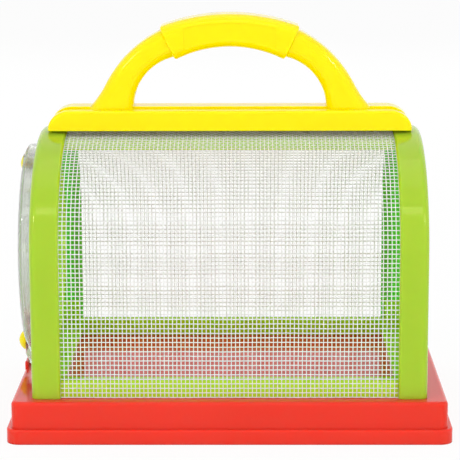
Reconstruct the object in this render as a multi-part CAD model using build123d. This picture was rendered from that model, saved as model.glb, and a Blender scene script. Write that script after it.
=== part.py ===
from build123d import *
import os
from math import sqrt

# Critter case: a stepped base, two arched end frames, a mesh screen bent over them,
# a carrying handle on the crown and a round clear door that swings on one pin.
# Millimetres. +X is right, +Y is back, +Z is up. The origin is the middle of the base's underside.

# Base
base_length = 176.0
base_depth = 126.4
base_height = 17.0
base_wall = 2.4
base_floor = 2.6
base_corner = 3.5
base_top_round = 1.5
lip_step = 2.0
lip_height = 6.0
lip_round = 0.6
rib_width = 2.4

# Green body, which stands in from the base's edges
end_ledge = 8.0
side_ledge = 5.0
spring_height = 58.0
crown_rise = 44.8
rim_width = 11.8
rim_wall = 3.0
rim_round = 3.0
rim_chamfer = 0.8
end_wall = 2.5
tongue_width = 14.0
tongue_spacing = 60.0
tongue_depth = 5.5
tongue_relief = 0.2

# Screen
screen_inset = 1.5
screen_thickness = 0.5
screen_tuck = 3.5
groove_clearance = 0.1
screen_foot_gap = 0.2

# Sills and roof panel
sill_height = 7.2
sill_depth = 6.5
sill_round = 0.8
roof_width = 36.0
roof_thickness = 2.5
roof_gap = 0.3
seat_clearance = 0.1
roof_tongue_gap = 0.2

# Doorway and pivot in the left end frame
door_height = 51.7
doorway_radius = 39.5
collar_wall = 2.5
collar_depth = 6.0
pivot_rise = 35.6
ear_radius = 7.0

# Door
door_radius = 43.75
door_wall = 1.8
door_gap = 0.3
door_side = 5.8
door_round = 2.4
door_crown = 2.9
hub_radius = 4.0
hub_proud = 0.5
lug_width = 16.0
lug_top = 19.0
lug_shoulder = 15.0
lug_chin = 6.2
lug_heel = 2.9
lug_bottom = 1.0
lug_reach = 7.6
lug_heel_reach = 6.1
lug_root = 3.6
lug_corner = 4.0

# Catch on the base's left ledge
catch_height = 2.6
catch_gap = 0.4
catch_wall = 1.6
catch_round = 0.6

# Pivot pin, its clip, and the knob
pin_radius = 2.0
running_clearance = 0.05
pin_head_radius = 3.7
pin_head_height = 1.4
pin_tail = 1.2
clip_thickness = 0.8
clip_radius = 4.2
clip_groove = 0.4
clip_clearance = 0.1
knob_radius = 4.2
knob_height = 3.6
knob_step = 1.2
knob_rise = 10.4
knob_stem_radius = 1.6
knob_stem_length = 3.0
stem_clearance = 0.05

# Handle plate
plate_end_margin = 4.2
plate_depth = 27.0
plate_height = 8.4
plate_end_run = 9.4
plate_end_rise = 7.8
plate_edge_round = 1.2
plate_wall = 2.2
plate_gap = 0.1
spine_width = 10.0
spine_height = 0.8
spine_end_inset = 0.5

# Handle legs and grip, with heights above the plate's top
foot_outer = 59.2
foot_inner = 40.4
ankle_outer = 52.2
ankle_height = 9.8
elbow_outer = 42.6
elbow_height = 22.9
shoulder_outer = 26.0
shoulder_outer_height = 33.9
shoulder_inner = 21.0
shoulder_inner_height = 21.9
leg_root = 1.5
leg_tail = 8.0
leg_depth = 17.0
leg_round = 4.5
leg_wall = 2.4
grip_outer = 29.4
grip_outer_height = 34.2
grip_rise = 39.5
grip_inner = 22.7
grip_inner_height = 20.4
grip_inner_rise = 25.9
grip_depth = 20.0
grip_round = 4.5
grip_corner = 1.0
panel_half_length = 19.0
panel_top_margin = 3.4
panel_bottom_margin = 2.5
panel_recess = 0.6

# Screws
screw_radius = 1.5
screw_head_radius = 2.8
screw_head_height = 2.0
screw_clearance = 0.15
thread_clearance = 0.05
head_clearance = 0.3
screw_head_round = 0.6
screw_tip_chamfer = 0.7
drive_length = 3.4
drive_width = 0.7
drive_depth = 0.9
boss_wall = 1.7
base_screw_length = 22.0
base_screw_seat = 8.5
base_boss_bottom = 6.0
frame_boss_height = 8.5
roof_screw_length = 10.0
roof_screw_inset = 8.0
roof_screw_offset = 7.0
handle_screw_length = 9.0
handle_screw_head_depth = 5.0
leg_screw_offset = 43.2
leg_screw_height = 12.8
grip_screw_height = 32.4
hole_allowance = 0.6

# How far a cut runs past the face it opens, and how closely an edge is matched to a plane
past = 1.0
match = 0.01

# Derived places
floor_level = base_height
half_length = base_length / 2 - end_ledge
half_depth = base_depth / 2 - side_ledge
spring_level = floor_level + spring_height
rim_inner = half_length - rim_width
wall_inner = half_length - end_wall
sill_back = half_depth - screen_inset - screen_thickness - sill_depth
sill_tongue_front = half_depth - rim_wall - seat_clearance
door_level = floor_level + door_height
pivot_level = door_level + pivot_rise
door_back = -half_length - door_gap
door_edge = door_back - door_side
door_peak = door_edge - door_crown
hub_face = door_edge - door_crown * (1 - (pivot_rise / (door_radius - door_round)) ** 2) - hub_proud
lug_face = -half_length - lug_reach
lug_heel_face = -half_length - lug_heel_reach
lug_inner = -half_length - lug_root
knob_level = floor_level + knob_rise
catch_face = lug_heel_face - catch_gap
crown_level = spring_level + crown_rise
plate_length = 2 * (half_length - plate_end_margin)
plate_bottom = crown_level + plate_gap
plate_top = plate_bottom + plate_height
base_screw_x = (rim_inner + wall_inner) / 2
base_screw_y = (sill_back + sill_tongue_front) / 2
frame_boss_bottom = floor_level + sill_height + seat_clearance
roof_screw_x = half_length - roof_screw_inset
boss_radius = screw_radius + boss_wall


def block(low, high):
    """A box between two opposite corners."""
    size = [b - a for a, b in zip(low, high)]
    middle = [(a + b) / 2 for a, b in zip(low, high)]
    return Pos(*middle) * Box(*size)


def rod(radius, start, end):
    """A cylinder between two points that lie along one axis."""
    line = Vector(*end) - Vector(*start)
    plane = Plane(origin=start, z_dir=line)
    return extrude(plane * Circle(radius), line.length)


def turned(points, level):
    """A solid turned about the X axis through the middle of the case at a level."""
    outline = make_face(points)
    return Pos(0, 0, level) * revolve(outline, Axis.X)


def dome_arc(rim, peak, radius):
    """Outline arc of a round cap that stands to the left of its rim, from the rim to the axis."""
    rise = rim - peak
    sphere = (radius * radius + rise * rise) / (2 * rise)
    bulge = peak + sphere - sqrt(sphere * sphere - radius * radius / 4)
    return ThreePointArc((rim, radius), (bulge, radius / 2), (peak, 0))


def arch(inset, bottom, start, end):
    """The arched section, drawn in by an inset, from one X to another."""
    half = half_depth - inset
    crown = EllipticalCenterArc((0, spring_level), half, crown_rise - inset, 0, arc_size=180)
    sides = Polyline((-half, spring_level), (-half, bottom), (half, bottom), (half, spring_level))
    face = Plane.YZ * make_face([crown, sides])
    return Pos(start, 0, 0) * extrude(face, end - start)


def arch_band(outer, inner, bottom, start, end):
    """The space between two insets of the arched section, open at its foot."""
    return arch(outer, bottom, start, end) - arch(inner, bottom - past, start - past, end + past)


def screw(length):
    """A pan-headed screw that points up, with its head's seat at the origin and a crossed drive."""
    head = Pos(0, 0, -screw_head_height / 2) * Cylinder(screw_head_radius, screw_head_height)
    rims = head.edges().filter_by(GeomType.CIRCLE).sort_by(Axis.Z)
    head = fillet(rims[0], screw_head_round)
    shank = rod(screw_radius, (0, 0, 0), (0, 0, length))
    tip = shank.edges().filter_by(GeomType.CIRCLE).sort_by(Axis.Z)[-1]
    shank = chamfer(tip, screw_tip_chamfer)
    reach = drive_length
    low = -screw_head_height
    drive = block((-reach / 2, -drive_width / 2, low), (reach / 2, drive_width / 2, low + drive_depth))
    drive += block((-drive_width / 2, -reach / 2, low), (drive_width / 2, reach / 2, low + drive_depth))
    return head + shank - drive


def corners(x, y):
    """The four places at plus and minus x and y."""
    return [(sx * x, sy * y) for sx in (-1, 1) for sy in (-1, 1)]


def base_tray():
    """Stepped plinth, open below, with ribs, bosses, slots and the door's catch."""
    walls = block((-base_length / 2, -base_depth / 2, 0), (base_length / 2, base_depth / 2, base_height))
    walls = fillet(walls.edges().filter_by(Axis.Z), base_corner)
    walls = fillet(walls.faces().sort_by(Axis.Z)[-1].edges(), base_top_round)
    lip_x = base_length / 2 + lip_step
    lip_y = base_depth / 2 + lip_step
    lip = block((-lip_x, -lip_y, 0), (lip_x, lip_y, lip_height))
    lip = fillet(lip.edges().filter_by(Axis.Z), base_corner + lip_step)
    lip = fillet(lip.faces().sort_by(Axis.Z)[-1].edges(), lip_round)
    inner_x = base_length / 2 - base_wall
    inner_y = base_depth / 2 - base_wall
    ceiling = base_height - base_floor
    tray = walls + lip - block((-inner_x, -inner_y, -past), (inner_x, inner_y, ceiling))
    tray += block((-inner_x, -rib_width / 2, 0), (inner_x, rib_width / 2, ceiling))
    tray += block((-rib_width / 2, -inner_y, 0), (rib_width / 2, inner_y, ceiling))
    head_hole = screw_head_radius + head_clearance
    for x, y in corners(base_screw_x, base_screw_y):
        tray += rod(head_hole + boss_wall, (x, y, base_boss_bottom), (x, y, ceiling))
        tray -= rod(head_hole, (x, y, base_boss_bottom - past), (x, y, base_screw_seat))
        tray -= rod(screw_radius + screw_clearance, (x, y, base_screw_seat), (x, y, base_height + past))
    for x, y in corners((half_length + wall_inner) / 2, tongue_spacing / 2):
        slot_x = end_wall / 2
        slot_y = tongue_width / 2 + tongue_relief
        tray -= block((x - slot_x, y - slot_y, 0), (x + slot_x, y + slot_y, base_height + past))
    outer = -base_length / 2
    low = base_height - base_floor
    catch = block(
        (catch_face - catch_wall, -lug_width / 2, low),
        (catch_face, lug_width / 2, base_height + catch_height),
    )
    catch = fillet(catch.faces().sort_by(Axis.Z)[-1].edges(), catch_round)
    keep = block((outer, -base_depth / 2, 0), (0, base_depth / 2, base_height + catch_height + past))
    return tray + (catch & keep)


def end_frame(side):
    """Rim and end wall, with a groove for the screen, a floor band, two tongues and two bosses."""
    shell = arch(0, floor_level, rim_inner, half_length)
    outer_edges = shell.faces().sort_by(Axis.X)[-1].edges()
    arch_edges = [e for e in outer_edges if e.center().Z > floor_level + rim_wall]
    shell = fillet(arch_edges, rim_round)
    inner_edges = shell.faces().sort_by(Axis.X)[0].edges()
    arch_edges = [e for e in inner_edges if e.center().Z > floor_level + rim_wall]
    shell = chamfer(arch_edges, rim_chamfer)
    shell -= arch(rim_wall, floor_level - past, rim_inner - past, wall_inner)
    shell -= arch_band(
        screen_inset - groove_clearance,
        screen_inset + screen_thickness + groove_clearance,
        floor_level - past,
        rim_inner - past,
        rim_inner + screen_tuck + groove_clearance,
    )
    band_y = sill_back - seat_clearance
    shell += block((rim_inner, -band_y, floor_level), (wall_inner, band_y, floor_level + rim_wall))
    for y in (-tongue_spacing / 2, tongue_spacing / 2):
        low = (wall_inner + tongue_relief, y - tongue_width / 2, floor_level - tongue_depth)
        high = (half_length - tongue_relief, y + tongue_width / 2, floor_level + tongue_relief)
        shell += block(low, high)
    for turn in (-1, 1):
        y = turn * base_screw_y
        low_y, high_y = sorted((y - turn * boss_radius, turn * (half_depth - rim_wall)))
        low = (base_screw_x - boss_radius, low_y, frame_boss_bottom)
        high = (wall_inner, high_y, frame_boss_bottom + frame_boss_height)
        shell += block(low, high)
        hole_top = base_screw_seat + base_screw_length + hole_allowance
        shell -= rod(
            screw_radius + thread_clearance,
            (base_screw_x, y, frame_boss_bottom - past),
            (base_screw_x, y, hole_top),
        )
    for x, y in corners(roof_screw_x, roof_screw_offset):
        shell -= rod(screw_radius + screw_clearance, (x, y, spring_level), (x, y, plate_top))
    return shell if side > 0 else mirror(shell, Plane.YZ)


def door_end_frame():
    """The left end frame, with the doorway, its collar and the ear that holds the pivot pin."""
    frame = end_frame(-1)
    middle = door_level
    inside = -half_length + collar_depth
    frame += rod(doorway_radius + collar_wall, (-wall_inner, 0, middle), (inside, 0, middle))
    frame -= rod(doorway_radius, (-half_length - past, 0, middle), (inside + past, 0, middle))
    frame += rod(ear_radius, (-half_length, 0, pivot_level), (inside, 0, pivot_level))
    bore = pin_radius + running_clearance
    frame -= rod(bore, (-half_length - past, 0, pivot_level), (inside + past, 0, pivot_level))
    return frame


def sill(side):
    """Floor bar behind the screen, with narrower ends that tuck into the end frames."""
    front = half_depth - screen_inset - screen_thickness
    top = floor_level + sill_height
    length = rim_inner - seat_clearance
    bar = block((-length, sill_back, floor_level), (length, front, top))
    bar = fillet(bar.faces().sort_by(Axis.Z)[-1].edges().filter_by(Axis.X), sill_round)
    reach = wall_inner - seat_clearance
    bar += block((-reach, sill_back, floor_level), (reach, sill_tongue_front, top))
    for x in (-base_screw_x, base_screw_x):
        hole = screw_radius + screw_clearance
        bar -= rod(hole, (x, base_screw_y, floor_level - past), (x, base_screw_y, top + past))
    return bar if side > 0 else mirror(bar, Plane.XZ)


def roof_panel():
    """Curved strip under the crown, with thinner ends that are screwed up under the rims."""
    outer = screen_inset + screen_thickness + roof_gap
    inner = outer + roof_thickness
    length = rim_inner - seat_clearance
    strip = arch_band(outer, inner, floor_level, -length, length)
    reach = wall_inner - seat_clearance
    strip += arch_band(rim_wall + roof_tongue_gap, inner, floor_level, -reach, reach)
    strip &= block((-reach, -roof_width / 2, spring_level), (reach, roof_width / 2, plate_top))
    for x, y in corners(roof_screw_x, roof_screw_offset):
        strip -= rod(screw_radius + screw_clearance, (x, y, spring_level), (x, y, plate_top))
    return strip


def screen():
    """The mesh as one thin sheet, bent over the arch from sill to sill."""
    reach = rim_inner + screen_tuck
    sheet = arch_band(
        screen_inset,
        screen_inset + screen_thickness,
        floor_level + screen_foot_gap,
        -reach,
        reach,
    )
    for x, y in corners(roof_screw_x, roof_screw_offset):
        sheet -= rod(screw_radius + head_clearance, (x, y, spring_level), (x, y, plate_top))
    return sheet


def roof_seat_level(offset):
    """Height of the roof panel's underside at a distance from the middle."""
    inset = screen_inset + screen_thickness + roof_gap + roof_thickness
    share = offset / (half_depth - inset)
    return spring_level + (crown_rise - inset) * sqrt(1 - share * share)


def plate_profile(rise, inset):
    """Long side view of the plate: flat below, with quarter round ends."""
    half = plate_length / 2 - inset
    low = plate_bottom
    turn = plate_bottom + plate_height - plate_end_rise
    run = plate_end_run - inset
    lift = plate_end_rise + rise
    right = EllipticalCenterArc((half - run, turn), run, lift, 0, arc_size=90)
    left = EllipticalCenterArc((run - half, turn), run, lift, 90, arc_size=90)
    top = Line((half - run, turn + lift), (run - half, turn + lift))
    ends = Polyline((-half, turn), (-half, low), (half, low), (half, turn))
    return Plane.XZ * make_face([right, top, left, ends])


def slab(face, depth):
    """A flat profile thickened evenly to both sides of the case's middle plane."""
    return extrude(face, depth / 2, both=True)


def leg_profile():
    """Front view of the right leg, from inside the plate to just inside the grip."""
    ankle = (ankle_outer, plate_top + ankle_height)
    elbow = (elbow_outer, plate_top + elbow_height)
    shoulder = (shoulder_outer, plate_top + shoulder_outer_height)
    inner_shoulder = (shoulder_inner, plate_top + shoulder_inner_height)
    outer = ThreePointArc(ankle, elbow, shoulder)
    flare = TangentArc(ankle, (foot_outer, plate_top), tangent=(outer % 0) * -1)
    slope = flare % 1
    root_outer = Vector(foot_outer, plate_top) + slope * (leg_tail / abs(slope.Y))
    root_inner = (foot_inner, plate_top - leg_tail)
    heel = (foot_inner, plate_top)
    inner = TangentArc(heel, inner_shoulder, tangent=(0, 1))
    edges = [
        outer,
        flare,
        Polyline((foot_outer, plate_top), root_outer, root_inner, heel),
        inner,
        Line(inner_shoulder, shoulder),
    ]
    return Plane.XZ * make_face(edges)


def grip_profile(top_margin, bottom_margin, half_width):
    """Front view of the grip sleeve, or of its panel when margins and a width are given."""
    outer_y = plate_top + grip_outer_height
    inner_y = plate_top + grip_inner_height
    outer = ThreePointArc((-grip_outer, outer_y), (0, plate_top + grip_rise), (grip_outer, outer_y))
    inner = ThreePointArc(
        (-grip_inner, inner_y), (0, plate_top + grip_inner_rise), (grip_inner, inner_y)
    )
    right = Line((grip_outer, outer_y), (grip_inner, inner_y))
    left = Line((-grip_outer, outer_y), (-grip_inner, inner_y))
    face = make_face([outer, right, inner, left])
    if half_width:
        lowered = Pos(0, -top_margin) * face
        raised = Pos(0, bottom_margin) * face
        strip = Rectangle(2 * half_width, 4 * grip_rise)
        face = lowered & raised & (Pos(0, plate_top) * strip)
    return Plane.XZ * face


def handle_blank():
    """Plate, legs and grip together, hollow inside but for the bosses that take the screws."""
    plate = slab(plate_profile(0, 0), plate_depth)
    rims = [e for e in plate.edges() if abs(abs(e.center().Y) - plate_depth / 2) < plate_edge_round]
    rims = [e for e in rims if e.center().Z > plate_bottom + plate_height / 2]
    plate = fillet(rims, plate_edge_round)
    plate += slab(plate_profile(spine_height, spine_end_inset), spine_width)
    leg = slab(leg_profile(), leg_depth)
    long_edges = [e for e in side_edges(leg, leg_depth) if not is_leg_end(e)]
    leg = fillet(long_edges, leg_round)
    leg &= block(
        (0, -leg_depth, plate_top - leg_root), (plate_length, leg_depth, plate_top + grip_rise)
    )
    grip = slab(grip_profile(0, 0, 0), grip_depth)
    arcs = [e for e in side_edges(grip, grip_depth) if e.geom_type == GeomType.CIRCLE]
    grip = fillet(arcs, grip_round)
    ends = [f for f in grip.faces() if f.geom_type == GeomType.PLANE and abs(f.center().Y) < grip_round]
    grip = fillet([e for face in ends for e in face.edges()], grip_corner)
    blank = plate + leg + mirror(leg, Plane.YZ) + grip
    panel = grip_profile(panel_top_margin, panel_bottom_margin, panel_half_length)
    for side in (-1, 1):
        sunk = Pos(0, side * (grip_depth / 2 - panel_recess + grip_depth / 2), 0)
        blank -= sunk * slab(panel, grip_depth)
    hollow = slab(plate_profile(-plate_wall, plate_wall), plate_depth - 2 * plate_wall)
    opening = plate_length / 2 - plate_wall - plate_end_run
    hollow += block(
        (-opening, plate_wall - plate_depth / 2, plate_bottom - past),
        (opening, plate_depth / 2 - plate_wall, plate_bottom + plate_height / 2),
    )
    core = slab(offset(leg_profile(), -leg_wall), leg_depth - 2 * leg_wall)
    grip_core = slab(offset(grip_profile(0, 0, 0), -leg_wall), grip_depth - 2 * leg_wall)
    inside = hollow + core + mirror(core, Plane.YZ) + grip_core
    for x, y in corners(roof_screw_x, roof_screw_offset):
        inside -= rod(boss_radius, (x, y, plate_bottom), (x, y, plate_top))
    for x, z, depth in handle_screw_places():
        inside -= rod(boss_radius, (x, -depth / 2, z), (x, depth / 2, z))
    return blank - inside


def side_edges(solid, depth):
    """The outline edges on a slab's front and back faces."""
    return [e for e in solid.edges() if abs(abs(e.center().Y) - depth / 2) < match]


def is_leg_end(edge):
    """Whether an edge closes a leg's outline, at its root or inside the grip."""
    root = edge.center().Z < plate_top - leg_tail + past
    return root or (edge.geom_type == GeomType.LINE and edge.center().Z > plate_top + ankle_height)


def handle_screw_places():
    """Where the screws that close the handle lie, as X, height and how deep the handle is there."""
    return [
        (-leg_screw_offset, plate_top + leg_screw_height, leg_depth),
        (0, plate_top + grip_screw_height, grip_depth - panel_recess),
        (leg_screw_offset, plate_top + leg_screw_height, leg_depth),
    ]


def handle_half(side):
    """One shell of the handle, cut on the case's middle plane, with its screw holes."""
    blank = handle_blank()
    reach = plate_length
    low, high = sorted((0, side * plate_depth))
    half_space = block((-reach, low, 0), (reach, high, 2 * plate_top))
    half = blank & half_space
    tip = roof_seat_level(roof_screw_offset + screw_head_radius) + roof_screw_length + hole_allowance
    for x, y in corners(roof_screw_x, roof_screw_offset):
        half -= rod(screw_radius + thread_clearance, (x, y, spring_level), (x, y, tip))
    for x, z, depth in handle_screw_places():
        seat = leg_depth / 2 - handle_screw_head_depth
        if side > 0:
            half -= rod(screw_radius + screw_clearance, (x, -past, z), (x, seat, z))
            half -= rod(screw_head_radius + head_clearance, (x, seat, z), (x, depth, z))
        else:
            tip = seat - handle_screw_length - hole_allowance
            half -= rod(screw_radius + thread_clearance, (x, past, z), (x, tip, z))
    return half


def door():
    """Clear domed cover with a hub for the pin and a lug that hangs behind the catch."""
    edge = door_radius - door_round
    inner_edge = door_radius - door_wall
    corner = door_round * (1 - sqrt(0.5))
    outline = [
        Line((door_back, door_radius), (door_edge + door_round, door_radius)),
        ThreePointArc(
            (door_edge + door_round, door_radius),
            (door_edge + corner, door_radius - corner),
            (door_edge, edge),
        ),
        dome_arc(door_edge, door_peak, edge),
        Line((door_peak, 0), (door_peak + door_wall, 0)),
        dome_arc(door_edge + door_wall, door_peak + door_wall, inner_edge),
        Polyline(
            (door_edge + door_wall, inner_edge), (door_back, inner_edge), (door_back, door_radius)
        ),
    ]
    shell = turned(outline, door_level)
    shell += rod(hub_radius, (door_back, 0, pivot_level), (hub_face, 0, pivot_level))
    lug_outline = Polyline(
        (lug_inner, floor_level + lug_bottom),
        (lug_inner, floor_level + lug_top),
        (door_edge, floor_level + lug_top),
        (lug_face, floor_level + lug_shoulder),
        (lug_face, floor_level + lug_chin),
        (lug_heel_face, floor_level + lug_heel),
        (lug_heel_face, floor_level + lug_bottom),
        close=True,
    )
    lug = slab(Plane.XZ * make_face(lug_outline), lug_width)
    lug = fillet(lug.edges().filter_by(Axis.X).sort_by(Axis.Z)[:2], lug_corner)
    shell += lug
    bore = pin_radius + running_clearance
    shell -= rod(bore, (door_back + past, 0, pivot_level), (hub_face - past, 0, pivot_level))
    socket = lug_face + knob_stem_length + stem_clearance
    shell -= rod(
        knob_stem_radius + stem_clearance, (lug_face - past, 0, knob_level), (socket, 0, knob_level)
    )
    return shell


def door_pivot_pin():
    """Headed pin that the door swings on, with a groove near its inner end."""
    clip_start = -half_length + collar_depth
    groove_end = clip_start + clip_thickness + clip_clearance
    tail = groove_end + pin_tail
    groove = pin_radius - clip_groove
    outline = [
        Polyline(
            (hub_face - pin_head_height, 0),
            (tail, 0),
            (tail, pin_radius),
            (groove_end, pin_radius),
            (groove_end, groove),
            (clip_start, groove),
            (clip_start, pin_radius),
            (hub_face, pin_radius),
            (hub_face, pin_head_radius),
        ),
        dome_arc(hub_face, hub_face - pin_head_height, pin_head_radius),
    ]
    return turned(outline, pivot_level)


def pivot_clip():
    """Push-on ring in the pin's groove, split at the bottom."""
    start = -half_length + collar_depth
    end = start + clip_thickness
    hole = pin_radius - clip_groove + clip_clearance
    ring = rod(clip_radius, (start, 0, pivot_level), (end, 0, pivot_level))
    ring -= rod(hole, (start - past, 0, pivot_level), (end + past, 0, pivot_level))
    low = (start - past, -hole, pivot_level - 2 * clip_radius)
    return ring - block(low, (end + past, hole, pivot_level))


def door_knob():
    """Domed knob on a stem that is pressed into the lug."""
    outline = [
        Polyline(
            (lug_face - knob_height, 0),
            (lug_face + knob_stem_length, 0),
            (lug_face + knob_stem_length, knob_stem_radius),
            (lug_face, knob_stem_radius),
            (lug_face, knob_radius),
            (lug_face - knob_step, knob_radius),
        ),
        dome_arc(lug_face - knob_step, lug_face - knob_height, knob_radius),
    ]
    return turned(outline, knob_level)


def base_screws():
    """Four screws that clamp base, sills and end frames."""
    return [
        Pos(x, y, base_screw_seat) * screw(base_screw_length)
        for x, y in corners(base_screw_x, base_screw_y)
    ]


def roof_screws():
    """Four screws that go up through the roof panel and the rims into the handle's plate."""
    level = roof_seat_level(roof_screw_offset + screw_head_radius)
    return [
        Pos(x, y, level) * screw(roof_screw_length)
        for x, y in corners(roof_screw_x, roof_screw_offset)
    ]


def handle_screws():
    """Three screws that go in from the back and close the two handle shells."""
    seat = leg_depth / 2 - handle_screw_head_depth
    turn = Rot(90, 0, 0)
    places = handle_screw_places()
    return [Pos(x, seat, z) * turn * screw(handle_screw_length) for x, z, depth in places]


pieces = {
    "base_tray": base_tray(),
    "door_end_frame": door_end_frame(),
    "closed_end_frame": end_frame(1),
    "front_sill": sill(-1),
    "rear_sill": sill(1),
    "roof_panel": roof_panel(),
    "screen": screen(),
    "handle_front_half": handle_half(-1),
    "handle_rear_half": handle_half(1),
    "door": door(),
    "door_pivot_pin": door_pivot_pin(),
    "pivot_clip": pivot_clip(),
    "door_knob": door_knob(),
    "base_screws": Compound(children=base_screws()),
    "roof_screws": Compound(children=roof_screws()),
    "handle_screws": Compound(children=handle_screws()),
}

os.makedirs("parts", exist_ok=True)
for name, piece in pieces.items():
    export_step(piece, f"parts/{name}.step")
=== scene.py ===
import math

import bpy
from mathutils import Matrix, Vector


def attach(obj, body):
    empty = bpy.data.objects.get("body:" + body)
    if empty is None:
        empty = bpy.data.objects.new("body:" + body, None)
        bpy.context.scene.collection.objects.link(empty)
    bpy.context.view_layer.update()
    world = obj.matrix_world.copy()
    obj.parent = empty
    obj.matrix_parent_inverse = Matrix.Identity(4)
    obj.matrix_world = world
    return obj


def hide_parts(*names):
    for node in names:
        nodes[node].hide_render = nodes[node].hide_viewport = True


# A critter case: red base, green end frames, white woven screen, yellow handle, round clear door.
# Metres. +X is right, +Y is back, +Z is up. The origin is the middle of the base's underside.
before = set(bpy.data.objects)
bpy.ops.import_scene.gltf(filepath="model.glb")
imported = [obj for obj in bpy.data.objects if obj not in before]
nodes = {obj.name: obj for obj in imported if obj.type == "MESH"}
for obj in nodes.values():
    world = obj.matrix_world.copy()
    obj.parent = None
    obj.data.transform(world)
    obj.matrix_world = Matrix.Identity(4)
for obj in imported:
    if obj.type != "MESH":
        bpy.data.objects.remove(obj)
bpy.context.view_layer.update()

# Camera
# It stands in front of the case, a little right of its middle, and looks slightly down.
camera_place = Vector((0.00872, -0.83771, 0.23696))
camera_down = math.radians(10.918)
camera_left = math.radians(0.607)
camera_roll = math.radians(-0.18)
camera_data = bpy.data.cameras.new("camera")
camera_data.sensor_width = 36.0
camera_data.lens = 156.52
camera_data.clip_start = 0.05
camera_data.clip_end = 30.0
camera = bpy.data.objects.new("camera", camera_data)
bpy.context.scene.collection.objects.link(camera)
camera_look = Vector(
    (
        -math.sin(camera_left) * math.cos(camera_down),
        math.cos(camera_left) * math.cos(camera_down),
        -math.sin(camera_down),
    )
)
camera_turn = camera_look.to_track_quat("-Z", "Y").to_matrix()
camera.matrix_world = (
    Matrix.Translation(camera_place)
    @ camera_turn.to_4x4()
    @ Matrix.Rotation(camera_roll, 4, "Z")
)
bpy.context.scene.camera = camera
bpy.context.scene.view_settings.view_transform = "Standard"


# Room
# A white sweep of floor and a white surround, lit by large soft lamps, as in a catalogue picture.
# They show white to the eye, in gloss and through clear plastic, and the floor keeps the shadow.
class Field:
    """A socket whose operators add maths nodes to its tree."""

    def __init__(self, finish, socket):
        self.finish = finish
        self.socket = socket

    def maths(self, operation, a, b=None, clamp=False):
        values = {0: a} if b is None else {0: a, 1: b}
        settings = {"operation": operation, "use_clamp": clamp}
        return self.finish.add("ShaderNodeMath", settings, values).out(0)

    def __add__(self, other):
        return self.maths("ADD", self, other)

    def __radd__(self, other):
        return self.maths("ADD", other, self)

    def __sub__(self, other):
        return self.maths("SUBTRACT", self, other)

    def __rsub__(self, other):
        return self.maths("SUBTRACT", other, self)

    def __mul__(self, other):
        return self.maths("MULTIPLY", self, other)

    def __rmul__(self, other):
        return self.maths("MULTIPLY", other, self)

    def __truediv__(self, other):
        return self.maths("DIVIDE", self, other)

    def __rtruediv__(self, other):
        return self.maths("DIVIDE", other, self)

    def __abs__(self):
        return self.maths("ABSOLUTE", self)

    def root(self):
        return self.maths("SQRT", self)

    def most(self, other):
        return self.maths("MAXIMUM", self, other)

    def ramp(self, none, full):
        """0 at none, 1 at full, level beyond them, and a straight run between."""
        return self.maths("MULTIPLY", self - none, 1.0 / (full - none), clamp=True)


class Node:
    """A node whose outputs are read as fields."""

    def __init__(self, finish, node):
        self.finish = finish
        self.node = node

    def out(self, name):
        return Field(self.finish, self.node.outputs[name])


class Finish:
    """The node tree of a material, or of the surround."""

    def __init__(self, owner):
        owner.use_nodes = True
        self.owner = owner
        self.nodes = owner.node_tree.nodes
        self.links = owner.node_tree.links
        self.nodes.clear()

    def add(self, kind, settings=None, values=None):
        """A node of a type, with its settings made first and then its sockets set or linked."""
        node = self.nodes.new(kind)
        for key, value in (settings or {}).items():
            setattr(node, key, value)
        for name, value in (values or {}).items():
            socket = node.inputs[name]
            if isinstance(value, Field):
                self.links.new(value.socket, socket)
            elif isinstance(value, tuple) and len(value) == 3 and socket.type == "RGBA":
                socket.default_value = (*value, 1.0)
            else:
                socket.default_value = value
        return Node(self, node)

    def place(self):
        """Object coordinates, in metres in the case's own frame."""
        return self.add("ShaderNodeTexCoord").out("Object")

    def noise(self, scale, detail, rough):
        values = {"Vector": self.place(), "Scale": scale, "Detail": detail, "Roughness": rough}
        return self.add("ShaderNodeTexNoise", None, values).out("Fac")

    def blend(self, amount, low, high):
        """A mix of two colours."""
        settings = {"data_type": "RGBA"}
        return self.add("ShaderNodeMix", settings, {0: amount, 6: low, 7: high}).out(2)

    def bump(self, height, strength, distance):
        values = {"Height": height, "Strength": strength, "Distance": distance}
        return self.add("ShaderNodeBump", None, values).out("Normal")

    def surface(self, values):
        """The material, with these values in the sockets of its one shader."""
        return self.end(self.add("ShaderNodeBsdfPrincipled", None, values).out(0))

    def end(self, shader, kind="ShaderNodeOutputMaterial"):
        self.add(kind, None, {"Surface": shader})
        return self.owner


def shown(finish):
    """1 for what the eye meets straight, in gloss or through clear plastic, 0 for other light."""
    rays = finish.add("ShaderNodeLightPath")
    straight = rays.out("Is Camera Ray").most(rays.out("Is Glossy Ray"))
    return straight.most(rays.out("Is Transmission Ray"))


white = (1.0, 1.0, 1.0)
floor_colour = (0.95, 0.95, 0.95)
floor_half = 3.0
floor_glow = 0.9

room = Finish(bpy.data.materials.new("room_white"))
lit = room.add("ShaderNodeBsdfDiffuse", None, {"Color": floor_colour}).out(0)
bright = room.add("ShaderNodeEmission", None, {"Color": white, "Strength": 1.0}).out(0)
room_values = {0: shown(room) * floor_glow, 1: lit, 2: bright}
room_material = room.end(room.add("ShaderNodeMixShader", None, room_values).out(0))

floor_mesh = bpy.data.meshes.new("floor")
floor_mesh.from_pydata(
    [
        (-floor_half, -floor_half, 0),
        (floor_half, -floor_half, 0),
        (floor_half, floor_half, 0),
        (-floor_half, floor_half, 0),
    ],
    [],
    [(0, 1, 2, 3)],
)
floor = bpy.data.objects.new("floor", floor_mesh)
bpy.context.scene.collection.objects.link(floor)
floor.data.materials.append(room_material)

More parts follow.
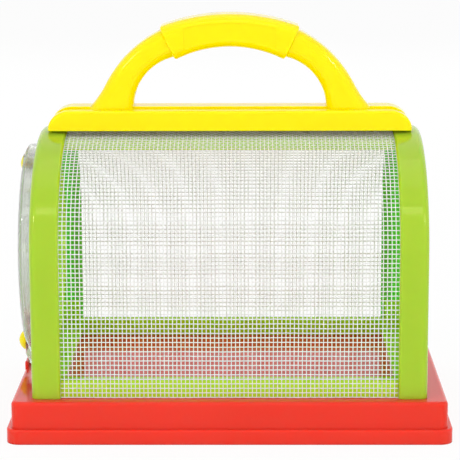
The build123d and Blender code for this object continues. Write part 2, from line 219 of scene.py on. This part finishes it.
sky_light = 0.72
surround = bpy.data.worlds.new("surround")
bpy.context.scene.world = surround
sky = Finish(surround)
sky_soft = sky.add("ShaderNodeBackground", None, {"Color": white, "Strength": sky_light}).out(0)
sky_white = sky.add("ShaderNodeBackground", None, {"Color": white, "Strength": 1.0}).out(0)
sky_values = {0: shown(sky), 1: sky_soft, 2: sky_white}
sky.end(sky.add("ShaderNodeMixShader", None, sky_values).out(0), "ShaderNodeOutputWorld")

# Name, place, width, height, power, and whether gloss mirrors it
lamps = (
    ("lamp_front", (0.0, -1.12, 1.37), 1.4, 0.27, 2.5, True),
    ("lamp_left", (-1.1, -0.9, 0.9), 0.14, 0.28, 2.6, True),
    ("lamp_right", (1.1, -0.9, 0.9), 0.14, 0.28, 2.6, True),
    ("lamp_top", (0.0, 0.1, 1.7), 1.4, 1.0, 2.6, True),
    ("lamp_fill", (0.0, -1.3, 0.2), 0.9, 0.35, 4.4, False),
    ("lamp_back", (0.0, 1.3, 0.75), 1.6, 0.7, 3.5, False),
)
lamps_face = Vector((0.0, 0.0, 0.08))
for lamp_name, lamp_place, lamp_width, lamp_height, lamp_power, mirrored in lamps:
    lamp_data = bpy.data.lights.new(lamp_name, "AREA")
    lamp_data.shape = "RECTANGLE"
    lamp_data.size = lamp_width
    lamp_data.size_y = lamp_height
    lamp_data.energy = lamp_power
    lamp = bpy.data.objects.new(lamp_name, lamp_data)
    lamp.location = lamp_place
    lamp_look = lamps_face - Vector(lamp_place)
    lamp.rotation_mode = "QUATERNION"
    lamp.rotation_quaternion = lamp_look.to_track_quat("-Z", "Y")
    lamp.visible_glossy = mirrored
    bpy.context.scene.collection.objects.link(lamp)

# Base
# A red plinth, injection-moulded in one piece, with a step round its foot and a catch at the left.
# The end frames stand in slots in its floor, and screws come up through it from below.
flow_scale = 14.0
wear_scale = 520.0
flow_dulls = 0.03
wear_dulls = 0.05
skin_strength = 0.03
skin_depth = 0.0003


def moulded(name, colour, deep, gloss, grain, bend, glow, reach, tint, paint_through_light=None):
    """Glossy moulded plastic: slight flow shading, fine handling wear and a barely uneven skin.
    Light passes into it by reach, in metres, times glow for red, green and blue. The last
    argument, if given, paints into the colour the light that comes through a wall, as painted
    light."""
    finish = Finish(bpy.data.materials.new(name))
    flow = finish.noise(flow_scale, detail=2.0, rough=0.45)
    wear = finish.noise(wear_scale, detail=3.0, rough=0.6)
    shade = finish.blend(flow.ramp(none=0.35, full=0.75), colour, deep)
    # Painted light: the colour made lighter where light comes through a wall.
    if paint_through_light:
        shade = paint_through_light(finish, shade)
    dull = flow_dulls * flow + wear_dulls * wear.ramp(none=0.55, full=0.8)
    skin = finish.noise(grain, detail=2.0, rough=0.5)
    values = {
        "Base Color": shade,
        "Roughness": gloss + dull,
        "Normal": finish.bump(skin, skin_strength, skin_depth),
        "IOR": bend,
        "Specular Tint": tint,
        "Subsurface Weight": 1.0,
        "Subsurface Radius": glow,
        "Subsurface Scale": reach,
    }
    return finish.surface(values)


def dress(material, *names):
    """Gives each of these pieces the material alone."""
    for name in names:
        nodes[name].data.materials.clear()
        nodes[name].data.materials.append(material)


red = moulded(
    "red_moulded",
    colour=(0.745, 0.046, 0.026),
    deep=(0.715, 0.042, 0.022),
    gloss=0.07,
    grain=180.0,
    bend=1.36,
    glow=(1.0, 0.2, 0.1),
    reach=0.003,
    tint=(1.0, 0.5, 0.45),
)
dress(red, "base_tray")

# End frames
# Lime green mouldings, each a wall and a rim, that hold the screen's edges and carry the handle.
# Inside them, the light that comes through the walls is painted into the colour: a lighter lime on
# the wall, and a green on the rim's inside.
frame_spring = 0.075
frame_half_depth = 0.0582
frame_rise = 0.0448
# Painted light: the colours that stand in for light coming through the frames' walls.
painted_lit_wall_lime = (0.5, 1.0, 0.06)
painted_lit_rim_green = (0.24, 0.97, 0.13)
# Pairs: where a mask is 0 and where it is 1, as a share of the frame's outline or as a distance
painted_light_share = (0.98, 0.96)
painted_rim_light_share = (0.9, 0.93)
rim_edge = (0.066, 0.068)
wall_face = (0.0783, 0.0777)


def paint_light_through_frames(finish, shade):
    """Painted light: lime on the inner sides of the end frames, and green near their rims, for
    light that comes through the walls.
    """
    spot = finish.add("ShaderNodeSeparateXYZ", None, {0: finish.place()})
    above = (spot.out("Z") - frame_spring).most(0.0) / frame_rise
    across = spot.out("Y") / frame_half_depth
    girth = (across * across + above * above).root()
    out = abs(spot.out("X"))
    # Painted light: the mask of the inner sides that are lit through the walls.
    painted_light_mask = girth.ramp(*painted_light_share) * out.ramp(*rim_edge) * out.ramp(*wall_face)
    shade = finish.blend(painted_light_mask, shade, painted_lit_wall_lime)
    return finish.blend(painted_light_mask * girth.ramp(*painted_rim_light_share), shade, painted_lit_rim_green)


green = moulded(
    "green_moulded_painted_light",
    colour=(0.375, 0.56, 0.028),
    deep=(0.355, 0.54, 0.025),
    gloss=0.09,
    grain=160.0,
    bend=1.49,
    glow=(0.6, 1.0, 0.4),
    reach=0.003,
    tint=(1.0, 1.0, 0.5),
    paint_through_light=paint_light_through_frames,
)
dress(green, "door_end_frame", "closed_end_frame")

# Sills and roof panel
# Two bars along the floor and a curved strip at the crown, moulded in a lighter lime.
# They lie close behind the screen, with tongues in the walls of the end frames.
light_green = moulded(
    "light_green_moulded",
    colour=(0.47, 0.77, 0.02),
    deep=(0.45, 0.74, 0.018),
    gloss=0.12,
    grain=160.0,
    bend=1.45,
    glow=(0.6, 1.0, 0.4),
    reach=0.003,
    tint=(1.0, 1.0, 0.4),
)
dress(light_green, "front_sill", "rear_sill", "roof_panel")

# Screen
# White plastic threads, woven one over one, in a single length that is bent over the arch
# from sill to sill and held in the grooves of the end frames.
weave = Finish(bpy.data.materials.new("screen_thread"))
fibre = weave.noise(2600.0, detail=2.0, rough=0.6)
weave_material = weave.surface(
    {
        "Base Color": weave.blend(fibre, (0.85, 0.85, 0.84), (0.78, 0.78, 0.77)),
        "Roughness": 0.42 + 0.15 * fibre,
        "Subsurface Weight": 1.0,
        "Subsurface Radius": (1.0, 1.0, 1.0),
        "Subsurface Scale": 0.0004,
    }
)

screen_sizes = {
    "Half length": 0.0717,
    "Half depth": 0.05645,
    "Rise": 0.04305,
    "Foot": 0.0173,
    "Spring": 0.075,
    "Threads round": 86,
    "Threads along": 144,
    "Thread width": 0.00032,
    "Wave": 0.00014,
    "Stray": 0.00014,
    "Seed": 7,
}
crown_steps = 241
wander_across = 40.0
wander_round = 11.0
wander_gain = 4.0
level_run = 1e-5

loom_group = bpy.data.node_groups.new("woven_screen", "GeometryNodeTree")
loom_group.interface.new_socket("Geometry", in_out="OUTPUT", socket_type="NodeSocketGeometry")
screen_inputs = {}
for input_name, value in screen_sizes.items():
    kind = "NodeSocketInt" if isinstance(value, int) else "NodeSocketFloat"
    made = loom_group.interface.new_socket(input_name, in_out="INPUT", socket_type=kind)
    screen_inputs[input_name] = made.identifier


class Loom:
    """Adds geometry nodes with their settings made and their sockets set or linked."""

    def __init__(self, group):
        self.group = group

    def add(self, kind, settings=None, values=None):
        node = self.group.nodes.new(kind)
        for key, value in (settings or {}).items():
            setattr(node, key, value)
        for name, value in (values or {}).items():
            socket = node.inputs[name]
            if isinstance(value, bpy.types.NodeSocket):
                self.group.links.new(value, socket)
            else:
                socket.default_value = value
        return node.outputs

    def join(self, pieces):
        node = self.group.nodes.new("GeometryNodeJoinGeometry")
        for piece in pieces:
            self.group.links.new(piece, node.inputs[0])
        return node.outputs[0]

    def maths(self, operation, *numbers):
        values = dict(enumerate(numbers))
        return self.add("ShaderNodeMath", {"operation": operation}, values)[0]

    def vector(self, operation, a, b):
        return self.add("ShaderNodeVectorMath", {"operation": operation}, {0: a, 1: b})[0]

    def scaled(self, a, amount):
        node = self.add("ShaderNodeVectorMath", {"operation": "SCALE"}, {0: a, "Scale": amount})
        return node[0]

    def point(self, x, y, z):
        return self.add("ShaderNodeCombineXYZ", None, {0: x, 1: y, 2: z})[0]

    def parts(self, vector):
        return self.add("ShaderNodeSeparateXYZ", None, {0: vector})

    def line(self, start, end):
        return self.add("GeometryNodeCurvePrimitiveLine", None, {"Start": start, "End": end})[0]


# The arch that the screen follows: a rear leg, the crown and a front leg
loom = Loom(loom_group)
given = loom.add("NodeGroupInput")
near = loom.maths("MULTIPLY", given["Half depth"], -1.0)
front_foot = loom.point(0.0, near, given["Foot"])
front_spring = loom.point(0.0, near, given["Spring"])
rear_spring = loom.point(0.0, given["Half depth"], given["Spring"])
rear_foot = loom.point(0.0, given["Half depth"], given["Foot"])
half_turn = loom.add(
    "GeometryNodeCurveArc",
    {"mode": "RADIUS"},
    {"Resolution": crown_steps, "Radius": 1.0, "Start Angle": math.pi, "Sweep Angle": -math.pi},
)["Curve"]
turn_place = loom.parts(loom.add("GeometryNodeInputPosition")[0])
crown_y = loom.maths("MULTIPLY", turn_place[0], given["Half depth"])
crown_z = loom.maths("MULTIPLY_ADD", turn_place[1], given["Rise"], given["Spring"])
crown_values = {"Geometry": half_turn, "Position": loom.point(0.0, crown_y, crown_z)}
crown = loom.add("GeometryNodeSetPosition", None, crown_values)[0]
rear_leg = loom.line(rear_spring, rear_foot)
front_leg = loom.line(front_foot, front_spring)
arch = loom.join((rear_leg, crown, front_leg))

# A flat grid with one line for each thread
length = loom.maths("MULTIPLY", given["Half length"], 2.0)
grid = loom.add(
    "GeometryNodeMeshGrid",
    None,
    {
        "Size X": length,
        "Size Y": 1.0,
        "Vertices X": given["Threads round"],
        "Vertices Y": given["Threads along"],
    },
)["Mesh"]
ends = loom.add("GeometryNodeInputMeshEdgeVertices")
edge = loom.parts(loom.vector("SUBTRACT", ends["Position 1"], ends["Position 2"]))
edge_along = loom.maths("ABSOLUTE", edge[0])
runs_along = loom.add(
    "FunctionNodeCompare",
    {"data_type": "FLOAT", "operation": "GREATER_THAN"},
    {0: edge_along, 1: level_run},
)[0]
runs_round = loom.add("FunctionNodeBooleanMath", {"operation": "NOT"}, {0: runs_along})[0]

# Where each crossing lies on the arch, and which way the threads pass there
cell = loom.parts(loom.add("GeometryNodeInputPosition")[0])
share = loom.maths("ADD", cell[1], 0.5)
on_arch = loom.add(
    "GeometryNodeSampleCurve",
    {"mode": "FACTOR", "use_all_curves": True},
    {"Curves": arch, "Factor": share},
)
outward = loom.vector("CROSS_PRODUCT", loom.point(1.0, 0.0, 0.0), on_arch["Tangent"])
last_round = loom.maths("SUBTRACT", given["Threads round"], 1.0)
last_along = loom.maths("SUBTRACT", given["Threads along"], 1.0)
share_x = loom.maths("ADD", loom.maths("DIVIDE", cell[0], length), 0.5)
column = loom.maths("ROUND", loom.maths("MULTIPLY", share_x, last_round))
row = loom.maths("ROUND", loom.maths("MULTIPLY", share, last_along))
odd = loom.maths("FLOORED_MODULO", loom.maths("ADD", column, row), 2.0)
side = loom.maths("MULTIPLY_ADD", odd, 2.0, -1.0)
lift = loom.maths("MULTIPLY", side, given["Wave"])

# Small wander of the threads, the same for both ways so that they still cross
wander_x = loom.maths("MULTIPLY", cell[0], wander_across)
wander_s = loom.maths("MULTIPLY", share, wander_round)
wander_noise = loom.add(
    "ShaderNodeTexNoise",
    {"noise_dimensions": "4D"},
    {
        "Vector": loom.point(wander_x, wander_s, 0.0),
        "W": given["Seed"],
        "Scale": 1.0,
        "Detail": 3.0,
    },
)["Color"]
wander = loom.parts(loom.vector("SUBTRACT", wander_noise, (0.5, 0.5, 0.5)))
stray = loom.maths("MULTIPLY", given["Stray"], wander_gain)
stray_x = loom.maths("MULTIPLY", wander[0], stray)
stray_s = loom.maths("MULTIPLY", wander[1], stray)
crossing = loom.vector("ADD", on_arch["Position"], loom.point(cell[0], 0.0, 0.0))
crossing = loom.vector("ADD", crossing, loom.point(stray_x, 0.0, 0.0))
crossing = loom.vector("ADD", crossing, loom.scaled(on_arch["Tangent"], stray_s))

# The threads of both ways, one over one
cut = loom.add(
    "GeometryNodeCurvePrimitiveQuadrilateral",
    {"mode": "RECTANGLE"},
    {"Width": given["Thread width"], "Height": given["Thread width"]},
)["Curve"]
threads = []
for dropped, way in ((runs_round, 1.0), (runs_along, -1.0)):
    lines = loom.add(
        "GeometryNodeDeleteGeometry",
        {"domain": "EDGE", "mode": "EDGE_FACE"},
        {"Geometry": grid, "Selection": dropped},
    )[0]
    over = loom.scaled(outward, loom.maths("MULTIPLY", lift, way))
    lines_values = {"Geometry": lines, "Position": loom.vector("ADD", crossing, over)}
    lines = loom.add("GeometryNodeSetPosition", None, lines_values)[0]
    curves = loom.add("GeometryNodeMeshToCurve", None, {0: lines})[0]
    thread_values = {"Curve": curves, "Profile Curve": cut, "Fill Caps": True}
    threads.append(loom.add("GeometryNodeCurveToMesh", None, thread_values)[0])
smooth = loom.add("GeometryNodeSetShadeSmooth", None, {"Geometry": loom.join(threads)})[0]
real = loom.add("GeometryNodeRealizeInstances", None, {"Geometry": smooth})[0]
dressed_values = {"Geometry": real, "Material": weave_material}
dressed = loom.add("GeometryNodeSetMaterial", None, dressed_values)[0]
loom.add("NodeGroupOutput", None, {"Geometry": dressed})

blank = bpy.data.objects.new("screen_blank", bpy.data.meshes.new("screen_blank"))
bpy.context.scene.collection.objects.link(blank)
weaving = blank.modifiers.new("weaving", "NODES")
weaving.node_group = loom_group
for input_name, value in screen_sizes.items():
    weaving[screen_inputs[input_name]] = value
bpy.context.view_layer.update()
woven = blank.evaluated_get(bpy.context.evaluated_depsgraph_get())
screen_mesh = bpy.data.meshes.new_from_object(woven)
bpy.data.objects.remove(blank)
screen = bpy.data.objects.new("woven_screen", screen_mesh)
bpy.context.scene.collection.objects.link(screen)
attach(screen, "case")
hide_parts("screen")

# Handle, door pin and door knob
# Two yellow shells screwed together, with a plate that spans the crown from frame to frame.
# The pin that the door turns on and the knob in its lug are moulded in the same yellow.
yellow = moulded(
    "yellow_moulded",
    colour=(1.0, 0.785, 0.0),
    deep=(1.0, 0.755, 0.0),
    gloss=0.09,
    grain=150.0,
    bend=1.49,
    glow=(1.0, 0.8, 0.1),
    reach=0.001,
    tint=(1.0, 0.95, 0.35),
)
dress(yellow, "handle_front_half", "handle_rear_half", "door_pivot_pin", "door_knob")

# Door
# A round domed cover, moulded in clear polystyrene with a faint haze in it.
# It swings on the pin at its top, and the base's catch stands in front of its foot.
clear = Finish(bpy.data.materials.new("clear_moulded"))
haze = clear.noise(40.0, detail=2.0, rough=0.5)
clear_material = clear.surface(
    {
        "Base Color": clear.blend(haze, (0.80, 0.82, 0.79), (0.74, 0.76, 0.73)),
        "Roughness": 0.04 + 0.05 * haze,
        "IOR": 1.45,
        "Transmission Weight": 1.0,
        "Alpha": 0.8,
    }
)
dress(clear_material, "door")

# Screws and clip
# Self-tapping screws that draw the base, the end frames and the handle together, and the
# spring ring that holds the door's pin from inside the case. All are plated steel.
steel = Finish(bpy.data.materials.new("plated_steel"))
steel_wear = steel.noise(900.0, detail=3.0, rough=0.6)
steel_material = steel.surface(
    {
        "Base Color": steel.blend(steel_wear, (0.55, 0.55, 0.56), (0.42, 0.42, 0.43)),
        "Metallic": 1.0,
        "Roughness": 0.28 + 0.2 * steel_wear,
    }
)
dress(steel_material, "base_screws", "roof_screws", "handle_screws", "pivot_clip")

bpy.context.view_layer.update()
